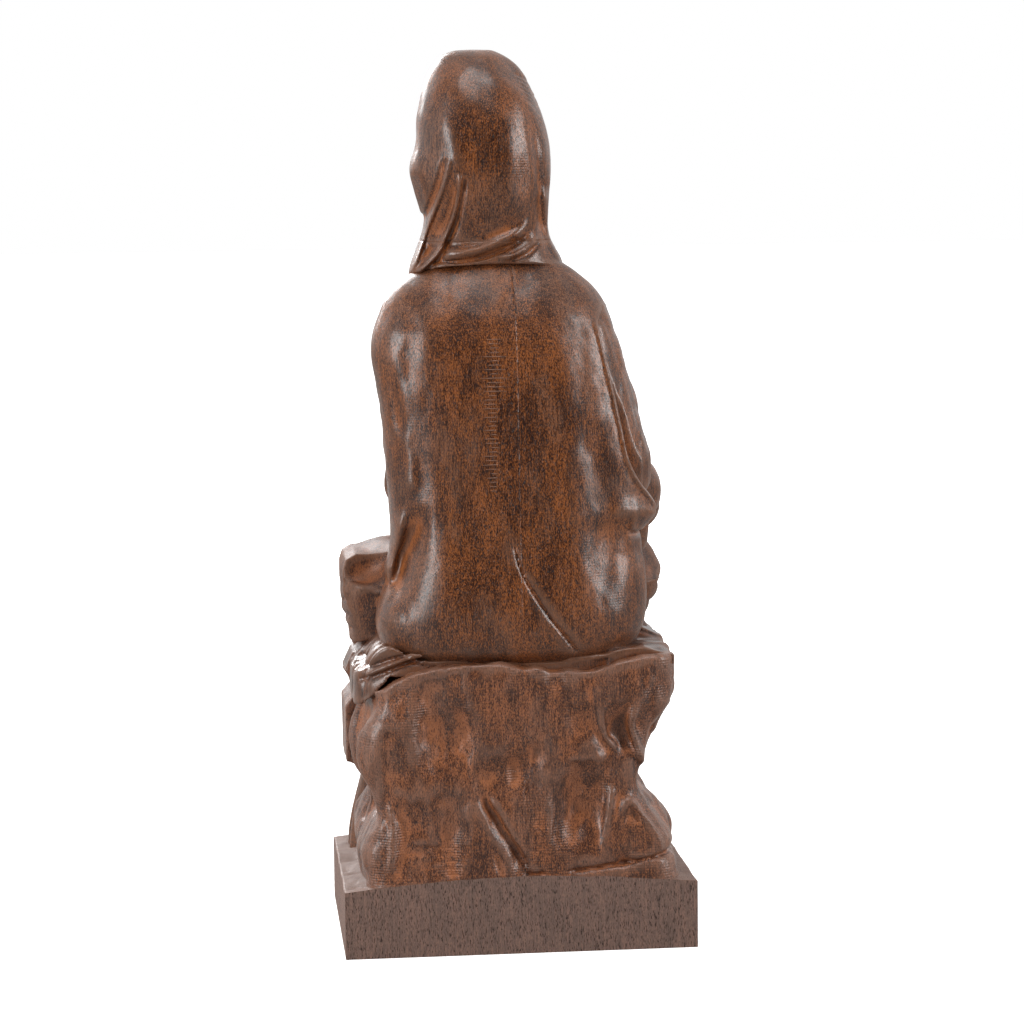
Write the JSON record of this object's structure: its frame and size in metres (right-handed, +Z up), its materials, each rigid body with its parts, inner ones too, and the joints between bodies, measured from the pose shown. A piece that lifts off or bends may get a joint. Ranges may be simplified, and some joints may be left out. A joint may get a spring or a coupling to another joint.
{
  "type": "madonna statue",
  "caption": "Stained wooden carving of a seated veiled madonna on a rock seat, standing on a sawn rectangular plinth.",
  "frame": {"origin": "centre of the plinth's underside, which is also the bottom centre of the bounding box", "axes": "+Z up; the figure faces -Y, so its back is at +Y; its own left hand is at +X"},
  "size_m": [0.1, 0.076, 0.254],
  "materials": {
    "carved_wood": "reddish dark-brown stain under soft-gloss varnish",
    "sawn_wood": "same stain, matte on the sawn sides and varnished on top",
    "dowel_wood": "bare turned hardwood, glued in"
  },
  "bodies": {
    "root": {"plinth": "sawn_wood", "plinth_dowels": "dowel_wood", "rock_left_board": "carved_wood", "rock_right_board": "carved_wood", "rock_ledge": "carved_wood", "ledge_dowel": "dowel_wood", "seat_cloth": "carved_wood", "seat_dowels": "dowel_wood", "cloak_left_board": "carved_wood", "cloak_right_board": "carved_wood", "neck_dowel": "dowel_wood", "head": "carved_wood", "hair": "carved_wood", "veil_hood": "carved_wood", "veil_hem": "carved_wood", "left_sleeve": "carved_wood", "right_sleeve": "carved_wood", "left_hand": "carved_wood", "right_hand": "carved_wood", "wrist_pegs": "dowel_wood", "lap": "carved_wood", "lap_dowels": "dowel_wood", "skirt": "carved_wood", "skirt_dowels": "dowel_wood", "left_foot": "carved_wood", "right_foot": "carved_wood", "foot_pegs": "dowel_wood"}
  },
  "joints": []
}
